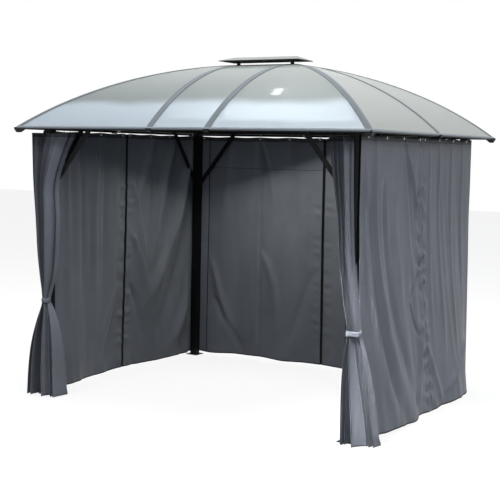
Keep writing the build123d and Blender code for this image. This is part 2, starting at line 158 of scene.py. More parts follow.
# Studio; the floor has one colour for the camera and one for light that bounces off it
FLOOR_SIZE = 60
FLOOR_SEEN = (0.9, 0.9, 0.9)
FLOOR_BOUNCE = (0.02, 0.02, 0.02)
FLOOR_GLOW = 0.85
SKY_COLOUR = (0.90, 0.95, 1.0)
SKY_STRENGTH = 0.36
WHITE = (1.0, 1.0, 1.0)
VAULT_COLOUR = (1.0, 0.99, 0.90)
LAMP_TARGET = Vector((0, 0.1, 1.4))
ACCENT_TARGET = Vector((1.40, -1.15, 0.50))
ACCENT_SPREAD = radians(20)
MIRRORED_LAMPS = ("fill", "glare")

# Lamps: place, power, width and length
LAMPS = {
    "fill": ((1.5, -10.0, 2.4), 60, 3.0, 3.0),
    "key": ((-0.6, -7.0, 8.5), 340, 2.0, 2.0),
    "right": ((8.5, -3.5, 5.5), 260, 3.0, 3.0),
    "sky": ((0.0, 0.5, 8.0), 1000, 6.0, 6.0),
    "vault": ((-0.20, 0.25, 2.06), 20, 1.6, 1.3),
    "glare": ((-4.71, 4.61, 10.3), 6, 0.13, 1.05),
    "accent": ((0.8, -4.4, 4.6), 17, 1.0, 0.6),
}


def add_camera():
    """Camera at the photograph's viewpoint."""
    forward = Vector((
        -sin(CAMERA_YAW) * cos(CAMERA_PITCH),
        cos(CAMERA_YAW) * cos(CAMERA_PITCH),
        -sin(CAMERA_PITCH),
    ))
    right = Vector((cos(CAMERA_YAW), sin(CAMERA_YAW), 0))
    up = right.cross(forward)
    turned_right = right * cos(CAMERA_ROLL) + up * sin(CAMERA_ROLL)
    turned_up = up * cos(CAMERA_ROLL) - right * sin(CAMERA_ROLL)
    data = bpy.data.cameras.new("photo_camera")
    data.lens = LENS
    data.sensor_width = SENSOR_WIDTH
    camera = bpy.data.objects.new("photo_camera", data)
    turn = Matrix((turned_right, turned_up, -forward)).transposed()
    camera.matrix_world = Matrix.Translation(CAMERA_PLACE) @ turn.to_4x4()
    scene.collection.objects.link(camera)
    scene.camera = camera


# Materials


class Nodes:
    """Shader nodes of a material or of the world, added and joined by short calls."""

    def __init__(self, owner):
        owner.use_nodes = True
        self.owner = owner
        self.tree = owner.node_tree

    def fill(self, node, key, value):
        """Join a socket to a node's input, or set the input's own value."""
        if isinstance(value, bpy.types.NodeSocket):
            self.tree.links.new(value, node.inputs[key])
        else:
            node.inputs[key].default_value = value

    def add(self, kind, output, *inputs, **values):
        """Output of a new node, whose sockets are filled in order or by name, like its properties."""
        node = self.tree.nodes.new(f"ShaderNode{kind}")
        for index, value in enumerate(inputs):
            self.fill(node, index, value)
        for key, value in values.items():
            if hasattr(node, key):
                setattr(node, key, value)
            else:
                self.fill(node, key.replace("_", " "), value)
        return node.outputs[output]

    def math(self, operation, *inputs):
        """Result of one operation on sockets or numbers."""
        return self.add("Math", "Value", *inputs, operation=operation)

    def ramp(self, factor, colours, span=(0.0, 1.0)):
        """Colour that goes from the first to the second over a span of the factor."""
        node = self.tree.nodes.new("ShaderNodeValToRGB")
        for element, colour, place in zip(node.color_ramp.elements, colours, span):
            element.color = (*colour, 1)
            element.position = place
        self.fill(node, "Fac", factor)
        return node.outputs["Color"]

    def seen_directly(self):
        """1 for rays from the camera and for rays that were mirrored or went through a sheet."""
        rays = self.tree.nodes.new("ShaderNodeLightPath").outputs
        total = rays["Is Camera Ray"]
        for kind in ("Is Glossy Ray", "Is Transmission Ray"):
            total = self.math("MAXIMUM", total, rays[kind])
        return total


class Finish(Nodes):
    """Material in the making: its shader and the places that its textures follow."""

    def __init__(self, name):
        super().__init__(bpy.data.materials.new(name))
        self.shader = self.tree.nodes["Principled BSDF"]
        places = self.tree.nodes.new("ShaderNodeTexCoord").outputs
        self.place = places["Object"]
        self.normal = places["Normal"]
        self.flat = places["UV"]

    def noise(self, **values):
        """Noise that fills the space round the piece."""
        return self.add("TexNoise", "Fac", Vector=self.place, **values)

    def bump(self, height, strength, distance):
        """Bend the shader's normal by a height."""
        bent = self.add("Bump", "Normal", Height=height, Strength=strength, Distance=distance)
        self.fill(self.shader, "Normal", bent)

    def set_shader(self, **values):
        """Set the shader's inputs, and give the material back."""
        for key, value in values.items():
            self.fill(self.shader, key.replace("_", " "), value)
        return self.owner


def shades(colour, dark, light):
    """A colour's darker and lighter shade."""
    return [[channel * factor for channel in colour] for factor in (dark, light)]


def painted_metal(name, colour, roughness, specular=0.5):
    """Powder coat: fine grain in the bump, slight cloudiness in colour and gloss."""
    finish = Finish(name)
    cloud = finish.noise(Scale=3.0, Detail=4.0)
    grit = finish.noise(Scale=900.0, Detail=2.0)
    gloss = finish.add(
        "MapRange",
        "Result",
        Value=cloud,
        From_Min=0.3,
        From_Max=0.7,
        To_Min=roughness - 0.06,
        To_Max=roughness + 0.06,
    )
    finish.bump(grit, 0.35, 0.0004)
    return finish.set_shader(
        Base_Color=finish.ramp(cloud, shades(colour, 0.86, 1.14), (0.3, 0.7)),
        Roughness=gloss,
        Specular_IOR_Level=specular,
    )


def roof_sheet():
    """Smoked translucent roof sheet: a pale bluish sky reflection painted along the eave, grey-green
    above a soft band, and a paler colour painted on the end sheets by the way they face.
    """
    finish = Finish("roof_sheet")
    low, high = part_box("roof_panels_front")
    band = low.z + SHEET_BAND_SHARE * (high.z - low.z)
    reflection_edge_noise = finish.noise(Scale=1.1, Detail=2.0, Roughness=0.5)
    height = finish.math("MULTIPLY_ADD", reflection_edge_noise, SHEET_REFLECTION_EDGE_NOISE, finish.add("SeparateXYZ", "Z", finish.place))
    level = finish.add(
        "MapRange",
        "Result",
        Value=height,
        From_Min=band + 0.05,
        From_Max=band + 0.13,
        interpolation_type="SMOOTHSTEP",
    )
    crown = finish.add("MapRange", "Result", Value=height, From_Min=band + 0.10, From_Max=high.z + 0.02)
    above_band = finish.ramp(crown, (SHEET_BAND, SHEET_HIGH))
    # Painted sky reflection on the lower part of the long sides
    long_side = finish.add("MixRGB", "Color", level, (*SHEET_SKY_REFLECTION, 1), above_band)
    # The end sheets, found by the way they face, take a paler painted colour
    sideways = finish.math("ABSOLUTE", finish.add("SeparateXYZ", "X", finish.normal))
    end_share = finish.add("MapRange", "Result", Value=sideways, From_Min=0.02, From_Max=0.08)
    finish.bump(finish.noise(Scale=3.5, Detail=2.0, Roughness=0.4), 0.3, 0.003)
    return finish.set_shader(
        Base_Color=finish.add("MixRGB", "Color", end_share, long_side, (*SHEET_END_PAINTED_LIGHT, 1)),
        Roughness=0.42,
        Specular_IOR_Level=0.35,
        Transmission_Weight=0.65,
        IOR=1.40,
        Coat_Weight=0.35,
        Coat_Roughness=0.06,
    )


def woven_cloth(name, colour, sheen):
    """Polyester cloth: plain weave, soft colour drift, light sheen, and painted shade along two crease
    lines pressed in by packing.
    """
    finish = Finish(name)
    drift = finish.noise(Scale=2.2, Detail=5.0, Roughness=0.6)
    stretched = finish.add("Mapping", "Vector", Vector=finish.place, Scale=(14.0, 14.0, 0.6))
    slub = finish.add("TexNoise", "Fac", Vector=stretched, Scale=60.0, Detail=3.0)
    mottled = finish.math("MULTIPLY_ADD", slub, 0.22, drift)
    tint = finish.ramp(mottled, shades(colour, 0.84, 1.14), (0.35, 0.85))
    down = finish.add("SeparateXYZ", "Y", finish.flat)
    # Painted shade: the colour darkens along the crease lines
    crease_shade = 0.0
    for drop in CREASE_DROPS:
        away = finish.math("ABSOLUTE", finish.math("SUBTRACT", down, drop))
        line = finish.add("MapRange", "Result", Value=away, From_Max=0.005, To_Min=1.0, To_Max=0.0)
        crease_shade = finish.math("ADD", crease_shade, line)
    shade = finish.math("MULTIPLY", crease_shade, 0.14)
    crease_shade_colour = [channel * 0.3 for channel in colour]
    weave = [
        finish.add("TexWave", "Fac", Vector=finish.flat, Scale=560.0, bands_direction=direction)
        for direction in "XY"
    ]
    finish.bump(finish.math("MULTIPLY", *weave), 0.35, 0.0006)
    return finish.set_shader(
        Base_Color=finish.add("MixRGB", "Color", shade, tint, (*crease_shade_colour, 1)),
        Roughness=0.55,
        Specular_IOR_Level=0.22,
        Sheen_Weight=sheen,
        Sheen_Roughness=0.45,
    )


def plain_plastic(name, colour, roughness):
    """Moulded plastic with a faint texture."""
    finish = Finish(name)
    grit = finish.noise(Scale=420.0, Detail=3.0)
    finish.bump(grit, 0.25, 0.0003)
    return finish.set_shader(
        Base_Color=finish.ramp(grit, shades(colour, 0.8, 1.2), (0.35, 0.65)),
        Roughness=roughness,
        Specular_IOR_Level=0.25,
    )


def bright_metal(name, colour, roughness):
    """Plated metal with fine brushing."""
    finish = Finish(name)
    brush = finish.noise(Scale=220.0, Detail=2.0)
    finish.bump(brush, 0.15, 0.0002)
    return finish.set_shader(
        Base_Color=finish.ramp(brush, shades(colour, 0.85, 1.05), (0.35, 0.65)),
        Metallic=1.0,
        Roughness=roughness,
    )


def zip_cloth():
    """Black zip: woven tape with a coil down its middle."""
    finish = Finish("zip_black")
    teeth = finish.add("TexWave", "Fac", Vector=finish.flat, Scale=180.0, bands_direction="Y")
    finish.bump(teeth, 0.4, 0.0008)
    return finish.set_shader(
        Base_Color=finish.ramp(teeth, (ZIP_DARK, ZIP_LIGHT)),
        Roughness=0.6,
        Specular_IOR_Level=0.12,
    )


materials = {
    "frame_black": painted_metal("frame_black", FRAME_BLACK, 0.5, 0.14),
    "rib_grey": painted_metal("rib_grey", RIB_GREY, 0.40),
    "eave_metal": painted_metal("eave_metal", FLASHING_GREY, 0.42, 0.35),
    "corner_plastic": plain_plastic("corner_plastic", CORNER_BLACK, 0.55),
    "roof_sheet": roof_sheet(),
    "cap_metal": painted_metal("cap_metal", CAP_GREY, 0.38),
    "curtain_fabric": woven_cloth("curtain_fabric", CLOTH_GREY, 0.15),
    # Heading cloth darker than the curtain: painted shade under the track
    "heading_painted_shade": woven_cloth("heading_painted_shade", HEADING_SHADE_GREY, 0.12),
    "zip_black": zip_cloth(),
    "hook_plastic": plain_plastic("hook_plastic", HOOK_BLACK, 0.45),
    "eyelet_metal": bright_metal("eyelet_metal", EYELET_SILVER, 0.22),
}


def dress_frame():
    """Give every CAD node the finish of its material slot."""
    slots = {part["node"]: part["material_slot"] for part in frame["record"]["subparts"]}
    for name, node in nodes.items():
        node.data.materials.clear()
        node.data.materials.append(materials[slots[name]])


# Meshes


def make_piece(name, points, faces, uvs, slot, heading_faces=0):
    """Mesh piece that rides on the gazebo; its first faces may take the heading's darker colour, a
    painted shade under the track.
    """
    mesh = bpy.data.meshes.new(name)
    mesh.from_pydata([tuple(point) for point in points], [], faces)
    mesh.update()
    layer = mesh.uv_layers.new(name="UVMap")
    loop_points = np.zeros(len(mesh.loops), dtype=np.int32)
    mesh.loops.foreach_get("vertex_index", loop_points)
    layer.data.foreach_set("uv", np.asarray(uvs, dtype=np.float32)[loop_points].ravel())
    mesh.materials.append(materials[slot])
    if heading_faces:
        mesh.materials.append(materials["heading_painted_shade"])
        bands = [int(index < heading_faces) for index in range(len(faces))]
        mesh.polygons.foreach_set("material_index", bands)
    mesh.polygons.foreach_set("use_smooth", [True] * len(mesh.polygons))
    piece = bpy.data.objects.new(name, mesh)
    scene.collection.objects.link(piece)
    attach(piece, "root")
    return piece


def joined_piece(name, parts, slot):
    """One mesh from several (points, faces) or (points, faces, uvs) parts."""
    points, faces, uvs, start = [], [], [], 0
    for part in parts:
        points.append(np.asarray(part[0]))
        faces += [tuple(index + start for index in face) for face in part[1]]
        uvs.append(part[2] if len(part) > 2 else np.asarray(part[0])[:, :2])
        start += len(part[0])
    return make_piece(name, np.concatenate(points), faces, np.concatenate(uvs), slot)


def grid_faces(rows, columns, closed=False):
    """Quads of a grid of points stored row by row, closed round its columns if asked."""
    faces = []
    for row in range(rows - 1):
        for column in range(columns if closed else columns - 1):
            following = (column + 1) % columns
            faces.append((
                row * columns + column,
                row * columns + following,
                (row + 1) * columns + following,
                (row + 1) * columns + column,
            ))
    return faces


def thicken(piece, thickness):
    """Turn a sheet into cloth of a real thickness."""
    solidify = piece.modifiers.new("thickness", "SOLIDIFY")
    solidify.thickness = thickness
    solidify.offset = 0.0


class Wall:
    """One closed side: its middle on the ground, its run and its outward direction."""

    def __init__(self, name, along, outward, halves):
        boxes = [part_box(half) for half in halves.values()]
        low = Vector([min(box[0][i] for box in boxes) for i in range(3)])
        high = Vector([max(box[1][i] for box in boxes) for i in range(3)])
        self.name = name
        self.along = Vector(along)
        self.outward = Vector(outward)
        self.halves = halves
        self.middle = (low + high) / 2
        self.length = abs((high - low).dot(self.along)) / 2
        self.top = high.z
        self.height = high.z - low.z
        self.hooks = self.hook_spots()

    def hook_spots(self):
        """Where the hooks are, along the run: the middles of the groups of points that lie close."""
        mesh = nodes[f"curtain_hooks_{self.name}"].data
        places = sorted({round(vertex.co.dot(self.along), 4) for vertex in mesh.vertices})
        groups = [[places[0]]]
        for place in places[1:]:
            if place - groups[-1][-1] < HOOK_REACH:
                groups[-1].append(place)
            else:
                groups.append([place])
        return [sum(group) / len(group) for group in groups]

    def points(self, along, outward, heights):
        """World points from arrays of run, outward offset and height."""
        spots = np.array(self.middle) * (1, 1, 0)
        spots = spots + np.outer(along.ravel(), np.array(self.along))
        spots += np.outer(outward.ravel(), np.array(self.outward))
        spots[:, 2] = heights.ravel()
        return spots


walls = [
    Wall("back", (1, 0, 0), (0, 1, 0), {-1: "curtain_back_left", 1: "curtain_back_right"}),
    Wall("left", (0, 1, 0), (-1, 0, 0), {-1: "curtain_left_front", 1: "curtain_left_back"}),
    Wall("right", (0, 1, 0), (1, 0, 0), {-1: "curtain_right_front", 1: "curtain_right_back"}),
]


def smooth_step(low, high, value):
    """Smooth rise from 0 at low to 1 at high."""
    share = np.clip((value - low) / (high - low), 0, 1)
    return share * share * (3 - 2 * share)


def ripple_field(seed, along, down, width, height, count=7):
    """Smooth random waves of about the given width and height, from -1 to 1."""
    draw = np.random.default_rng(seed)
    total = np.zeros_like(along)
    for _ in range(count):
        turn_u = 2 * pi / (width * draw.uniform(0.7, 1.6))
        turn_v = 2 * pi / (height * draw.uniform(0.7, 2.0)) * draw.choice((-1, 1))
        total += np.sin(along * turn_u + down * turn_v + draw.uniform(0, 2 * pi))
    return total / count**0.5


def smooth_line(spots, at):
    """Smooth curve through (place, value) spots, read at some places."""
    places, values = np.array(spots, dtype=float).T
    slopes = np.gradient(values, places)
    index = np.clip(np.searchsorted(places, at) - 1, 0, len(places) - 2)
    gap = places[index + 1] - places[index]
    share = np.clip((at - places[index]) / gap, 0, 1)
    square, cube = share**2, share**3
    return (
        (2 * cube - 3 * square + 1) * values[index]
        + (cube - 2 * square + share) * gap * slopes[index]
        + (3 * square - 2 * cube) * values[index + 1]
        + (cube - square) * gap * slopes[index + 1]
    )


def fold(along, down, start, end, width, depth, bend):
    """Ridge in the cloth from start to end, each a place along the wall and a drop below the heading."""
    share = (down - start[1]) / (end[1] - start[1])
    centre = start[0] + (end[0] - start[0]) * share + bend * share * (1 - share) * 4
    spread = width[0] + (width[1] - width[0]) * np.clip(share, 0, 1)
    fade = smooth_step(-0.06, 0.12, share) * (1 - smooth_step(0.75, 1.10, share))
    return depth * fade * np.exp(-(((along - centre) / spread) ** 2))


# Folds that show in the photograph: start, end, width at both ends, depth outward and sideways bend
WALL_FOLDS = {
    "left": [
        ((0.41, 0.01), (0.16, 0.60), (0.025, 0.05), -0.020, -0.02),
        ((0.41, 0.01), (0.36, 1.10), (0.020, 0.06), 0.018, 0.03),
        ((0.70, 0.01), (0.42, 1.15), (0.025, 0.06), -0.030, -0.05),
        ((0.76, 0.05), (0.56, 1.30), (0.030, 0.08), 0.028, 0.02),
        ((0.98, 0.01), (0.36, 1.50), (0.030, 0.09), -0.034, 0.10),
        ((1.06, 0.30), (0.52, 1.75), (0.035, 0.10), 0.030, 0.10),
        ((1.08, 1.10), (0.68, 1.95), (0.040, 0.07), -0.030, 0.03),
        ((0.08, 0.40), (0.28, 1.15), (0.025, 0.06), -0.014, 0.02),
        ((0.08, 0.85), (0.34, 1.50), (0.025, 0.07), -0.014, 0.04),
        ((0.08, 1.30), (0.30, 1.85), (0.025, 0.06), 0.012, 0.03),
        ((-0.14, 0.02), (-0.16, 1.00), (0.018, 0.04), -0.007, 0.0),
        ((-0.28, 0.02), (-0.30, 1.60), (0.022, 0.05), 0.010, 0.0),
        ((-0.40, 0.02), (-0.43, 1.70), (0.025, 0.05), -0.012, -0.02),
        ((-0.62, 0.02), (-0.60, 1.50), (0.025, 0.05), 0.011, 0.02),
        ((-0.80, 0.02), (-0.78, 1.60), (0.030, 0.05), -0.010, 0.0),
        ((-0.10, 1.30), (-0.34, 1.75), (0.025, 0.05), -0.010, 0.0),
        ((-0.10, 1.50), (-0.30, 1.95), (0.022, 0.05), 0.010, 0.0),
    ],
    "back": [
        ((-0.66, 0.01), (-0.50, 0.62), (0.014, 0.03), -0.010, 0.03),
        ((-0.97, 0.01), (-1.06, 0.80), (0.03, 0.05), -0.007, 0.0),
        ((-0.66, 0.01), (-0.76, 0.95), (0.03, 0.06), 0.007, 0.02),
        ((-0.36, 0.01), (-0.26, 0.90), (0.03, 0.06), 0.007, 0.0),
        ((-0.64, 0.20), (-0.66, 1.95), (0.012, 0.02), 0.006, 0.0),
        ((-0.36, 0.30), (-0.42, 1.70), (0.03, 0.07), -0.007, 0.03),
        ((-0.12, 0.40), (-0.18, 1.70), (0.03, 0.06), 0.006, 0.0),
        ((-1.16, 1.15), (-0.92, 1.95), (0.03, 0.05), -0.014, 0.0),
        ((-1.12, 1.50), (-0.84, 2.02), (0.03, 0.05), 0.014, 0.0),
        ((-0.62, 1.05), (-0.52, 1.90), (0.035, 0.06), -0.012, 0.10),
        ((-0.10, 1.20), (-0.34, 1.90), (0.03, 0.05), 0.008, 0.0),
        ((0.36, 0.01), (0.46, 0.80), (0.03, 0.05), 0.009, 0.0),
        ((0.66, 0.01), (0.52, 1.40), (0.03, 0.06), -0.009, 0.02),
        ((0.97, 0.01), (0.92, 1.60), (0.03, 0.06), 0.010, 0.0),
    ],
    "right": [
        ((-1.00, 0.20), (-0.62, 2.00), (0.020, 0.06), 0.020, -0.10),
        ((-0.92, 0.45), (-0.50, 2.00), (0.018, 0.05), -0.016, -0.12),
        ((-0.84, 0.02), (-0.40, 2.00), (0.022, 0.06), 0.018, -0.14),
        ((-0.68, 0.30), (-0.24, 2.00), (0.028, 0.06), -0.014, -0.12),
        ((-0.34, 0.02), (-0.06, 0.60), (0.012, 0.020), 0.018, 0.02),
        ((-0.30, 0.05), (-0.16, 0.90), (0.020, 0.030), -0.010, 0.02),
        ((-0.26, 1.18), (-0.04, 0.95), (0.014, 0.012), -0.010, 0.0),
        ((-0.26, 1.20), (-0.10, 1.48), (0.014, 0.012), -0.013, -0.02),
        ((-0.20, 1.95), (-0.05, 1.35), (0.050, 0.020), 0.016, 0.0),
        ((-0.30, 1.98), (-0.10, 1.70), (0.020, 0.030), -0.010, 0.0),
        ((0.06, 1.60), (0.24, 2.02), (0.030, 0.05), 0.016, 0.0),
        ((0.16, 0.02), (0.17, 1.50), (0.018, 0.03), 0.006, 0.0),
        ((0.36, 0.02), (0.38, 1.70), (0.018, 0.03), 0.009, 0.0),
        ((0.62, 0.02), (0.62, 1.70), (0.020, 0.03), 0.008, 0.0),
        ((0.88, 0.02), (0.86, 1.70), (0.022, 0.03), 0.008, 0.0),
        ((0.95, 1.60), (0.30, 1.95), (0.05, 0.07), 0.016, 0.0),
    ],
}

# Plan of each hem: place along the wall, then how far the hem has blown outward
HEM_BOWS = {
    "left": [
        (-1.09, -0.06), (-0.71, -0.043), (-0.50, 0.001), (-0.31, 0.020), (-0.04, 0.038),
        (0.20, 0.020), (0.45, -0.004), (0.62, -0.022), (0.88, -0.045), (1.09, -0.050),
    ],
    "back": [
        (-1.34, 0.0), (-1.20, -0.009), (-1.03, 0.008), (-0.88, 0.051), (-0.70, 0.048), (-0.51, 0.020),
        (-0.26, 0.015), (0.0, 0.035), (0.16, -0.010), (0.60, 0.030), (1.34, 0.0),
    ],
    "right": [
        (-1.09, 0.085), (-0.80, 0.121), (-0.58, 0.143), (-0.38, 0.158), (-0.18, 0.136), (-0.02, 0.132),
        (0.21, 0.144), (0.39, 0.156), (0.57, 0.170), (0.80, 0.130), (1.09, 0.02),
    ],
}

# Cloth of each wall: seed of its waves, height of its waves, puckers and hem waves, strength of its
# folds, and half width of the flat strip beside its zip
WALL_CLOTH = {
    "left": {"seed": 11, "wave": 0.004, "pucker": 0.009, "hem": 0.004, "folds": 1.8, "flat_zip": 0.035},
    "back": {"seed": 23, "wave": 0.0025, "pucker": 0.004, "hem": 0.004, "folds": 1.5, "flat_zip": 0.035},
    "right": {"seed": 37, "wave": 0.003, "pucker": 0.013, "hem": 0.006, "folds": 1.2, "flat_zip": 0.018},
}


def wall_offset(wall, along, down):
    """How far the cloth of a wall stands outward of its plane."""
    cloth = WALL_CLOTH[wall.name]
    seed = cloth["seed"]
    grown = smooth_step(0.0, 0.5, down)
    clear_of_zip = 1 - np.exp(-((along / cloth["flat_zip"]) ** 2))
    offset = cloth["wave"] * grown * ripple_field(seed, along, down, *BROAD_WAVES)
    offset += 0.5 * cloth["wave"] * grown * ripple_field(seed + 1, along, down, *SMALL_WAVES)
    for start, end, width, depth, bend in WALL_FOLDS[wall.name]:
        offset += cloth["folds"] * fold(along, down, start, end, width, depth, bend)
    near_zip = np.exp(-(((np.abs(along) - cloth["flat_zip"]) / PUCKER_SPREAD) ** 2))
    puckers = ripple_field(seed + 2, along * 0.8, down, *PUCKER_WAVES, count=9)
    offset += cloth["pucker"] * near_zip * grown * puckers
    offset *= clear_of_zip
    swung = np.clip((down / wall.height - SWING_START) / (1 - SWING_START), 0, 1) ** 1.5
    offset += swung * smooth_line(HEM_BOWS[wall.name], along)
    at_hem = smooth_step(0.8 * wall.height, wall.height, down)
    offset += cloth["hem"] * at_hem * ripple_field(seed + 3, along, down * 0, *HEM_WAVES, count=4)
    at_corner = smooth_step(0.80, 0.93, np.abs(along) / wall.length)
    inward_limit = WALL_INWARD_LIMIT - (WALL_INWARD_LIMIT - CORNER_INWARD_LIMIT) * at_corner
    return np.maximum(offset, -inward_limit)


def cloth_points(wall, along, down, lift=0.0):
    """World points on the cloth of a wall, moved outward of its middle by lift."""
    spots = np.array(wall.hooks)
    right = np.clip(np.searchsorted(spots, along), 1, len(spots) - 1)
    gap = spots[right] - spots[right - 1]
    share = np.clip((along - spots[right - 1]) / gap, 0, 1)
    sag = HEADING_SAG * np.sin(share * pi) ** 2 * (1 - smooth_step(0.0, 1.2, down))
    seed = WALL_CLOTH[wall.name]["seed"]
    waves = HEM_WAVE_HEIGHT * ripple_field(seed + 5, along, down * 0, *HEM_LEVEL_WAVES, count=3)
    levels = wall.top - down - sag + waves * smooth_step(1.2, wall.height, down) + HEADING_RISE
    return wall.points(along, wall_offset(wall, along, down) + lift, levels)


def closed_curtain(wall, side):
    """One half of a closed wall: heading band and hung cloth in one sheet."""
    node = wall.halves[side]
    reach = sorted(abs(corner.dot(wall.along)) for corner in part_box(node))
    columns = int((reach[1] - reach[0]) / COLUMN_STEP)
    rows = int(wall.height / ROW_STEP)
    steps = np.linspace(reach[0], reach[1], columns)
    drops = np.concatenate(([0, HEADING_BAND * 0.5], np.linspace(HEADING_BAND, wall.height, rows)))
    along, down = np.meshgrid(side * steps, drops)
    faces = grid_faces(len(drops), columns)
    if side * wall.along.cross(Vector((0, 0, -1))).dot(wall.outward) < 0:
        faces = [face[::-1] for face in faces]
    piece = make_piece(
        f"{node}_cloth",
        cloth_points(wall, along, down),
        faces,
        np.stack([along.ravel(), down.ravel()], axis=1),
        "curtain_fabric",
        heading_faces=2 * (columns - 1),
    )
    thicken(piece, CLOTH_THICKNESS)
    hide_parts(node)


def ribbon(wall, start, end, count, half_width, low, high):
    """Flat tape between two places (along, down) of a wall, from low to high off the cloth's middle."""
    along, down = np.linspace(start, end, count).T
    way_along, way_down = np.gradient(along), np.gradient(down)
    length = np.hypot(way_along, way_down)
    across = np.linspace(-half_width, half_width, 4)
    along_grid = along[:, None] - np.outer(way_down / length, across)
    down_grid = down[:, None] + np.outer(way_along / length, across)
    points = [cloth_points(wall, along_grid, down_grid, lift) for lift in (high, low)]
    rows, columns = along_grid.shape
    front = grid_faces(rows, columns)
    size = rows * columns
    back = [tuple(index + size for index in face[::-1]) for face in front]
    rim = [row * columns for row in range(rows)]
    rim += [(rows - 1) * columns + column for column in range(1, columns)]
    rim += [row * columns + columns - 1 for row in range(rows - 2, -1, -1)]
    rim += list(range(columns - 2, 0, -1))
    sides = []
    for corner, following in zip(rim, rim[1:] + rim[:1]):
        sides.append((corner, corner + size, following + size, following))
    uvs = np.tile(np.stack([along_grid.ravel(), down_grid.ravel()], axis=1), (2, 1))
    return np.concatenate(points), front + back + sides, uvs


def wall_tapes(wall):
    """Zip on the inner face of a wall and turned hem; the back wall also has piping and a seam."""
    bottom = wall.height - HEM_TAPE[1]
    end = wall.length - TAPE_MARGIN
    tapes = [ribbon(wall, (0, 0.0), (0, bottom), *ZIP_TAPE)]
    for side in (-1, 1):
        tapes.append(ribbon(wall, (side * HEM_START, bottom), (side * end, bottom), *HEM_TAPE))
        if wall.name == "back":
            piping = side * (end - PIPING_INSET)
            seam = CREASE_DROPS[0]
            tapes.append(ribbon(wall, (piping, 0.0), (piping, bottom), *PIPING_TAPE))
            tapes.append(ribbon(wall, (side * SEAM_START, seam), (piping, seam), *SEAM_TAPE))
    return tapes


def zip_flap(wall):
    """Strip of cloth that covers the zip on the outer face of a wall."""
    return ribbon(wall, (0, FLAP_START), (0, wall.height - TAPE_MARGIN), *FLAP_TAPE)


def tube_along(path, radius, sides=6):
    """Closed tube of round section along a list of points."""
    points = []
    for index, spot in enumerate(path):
        before = path[max(index - 1, 0)]
        after = path[min(index + 1, len(path) - 1)]
        way = (after - before).normalized()
        side = way.orthogonal() if index == 0 else side - way * side.dot(way)
        side.normalize()
        other = way.cross(side)
        for step in range(sides):
            angle = 2 * pi * step / sides
            points.append(spot + side * cos(angle) * radius + other * sin(angle) * radius)
    faces = [face[::-1] for face in grid_faces(len(path), sides, closed=True)]
    faces.append(tuple(range(sides)))
    faces.append(tuple(len(points) - 1 - index for index in range(sides)))
    return np.array([tuple(point) for point in points]), faces


def ring(centre, axis, radius, thickness, steps=16, sides=6):
    """Torus round an axis."""
    across = axis.orthogonal().normalized()
    other = axis.cross(across)
    points, faces = [], []
    for step in range(steps):
        angle = 2 * pi * step / steps
        out = across * cos(angle) + other * sin(angle)
        after = (step + 1) % steps
        for turn in range(sides):
            lean = 2 * pi * turn / sides
            rise = axis * thickness * sin(lean)
            points.append(centre + out * (radius + thickness * cos(lean)) + rise)
            following = (turn + 1) % sides
            faces.append((
                step * sides + turn,
                after * sides + turn,
                after * sides + following,
                step * sides + following,
            ))
    return np.array([tuple(point) for point in points]), faces


def block(low, high, inset=0.0015):
    """Box with small chamfers round its top and bottom, from its lowest and highest corners."""
    points = []
    for z, shrink in ((low[2], inset), (low[2] + inset, 0), (high[2] - inset, 0), (high[2], inset)):
        points += [
            (low[0] + shrink, low[1] + shrink, z),
            (high[0] - shrink, low[1] + shrink, z),
            (high[0] - shrink, high[1] - shrink, z),
            (low[0] + shrink, high[1] - shrink, z),
        ]
    faces = grid_faces(4, 4, closed=True)
    faces.append((3, 2, 1, 0))
    faces.append((12, 13, 14, 15))
    return np.array(points), faces


def hook_parts(x, y, out, track_bottom, heading_top):
    """Glider under the track with a wire hook that passes through the heading's eyelet."""
    glider = block(
        (x - GLIDER_HALF_WIDTH, y - GLIDER_HALF_WIDTH, track_bottom - GLIDER_DROP),
        (x + GLIDER_HALF_WIDTH, y + GLIDER_HALF_WIDTH, track_bottom + GLIDER_RISE),
    )
    neck = Vector((x, y, track_bottom - GLIDER_DROP))
    eyelet = Vector((x, y, heading_top - EYELET_DROP))
    path = [
        start + out * outward + Vector((0, 0, upward))
        for start, bends in ((neck, NECK_BENDS), (eyelet, EYELET_BENDS))
        for outward, upward in bends
    ]
    return [glider, tube_along(path, WIRE_RADIUS)]


def dress_wall(wall):
    """Cloth, hooks and eyelets of one closed side."""
    for side in wall.halves:
        closed_curtain(wall, side)
    track_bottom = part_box("curtain_tracks")[0].z
    hooks, eyelets = [], []
    for place in wall.hooks:
        x, y, top = wall.points(np.array([place]), np.array([0.0]), np.array([wall.top]))[0]
        hooks += hook_parts(x, y, wall.outward, track_bottom, top)
        centre = Vector((x, y, top + HEADING_RISE - EYELET_DROP))
        for face in (-CLOTH_THICKNESS, CLOTH_THICKNESS):
            eyelets.append(ring(centre + wall.outward * face, wall.outward, EYELET_RADIUS, EYELET_WIRE))
    piece = joined_piece(f"hooks_{wall.name}", hooks, "hook_plastic")
    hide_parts(f"curtain_hooks_{wall.name}")
    # The record has no slot of bare metal, so the eyelets name the hooks' slot and look like metal
    metal = joined_piece(f"eyelets_{wall.name}", eyelets, "hook_plastic")
    metal.data.materials[0] = materials["eyelet_metal"]


def add_tapes():
    """Zips, hems and piping of the three closed walls, and the flaps over their zips."""
    tapes = []
    for wall in walls:
        tapes += wall_tapes(wall)
    piece = joined_piece("zips", tapes, "zip_black")
    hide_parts("zip_tapes")
    joined_piece("zip_flaps", [zip_flap(wall) for wall in walls], "curtain_fabric")


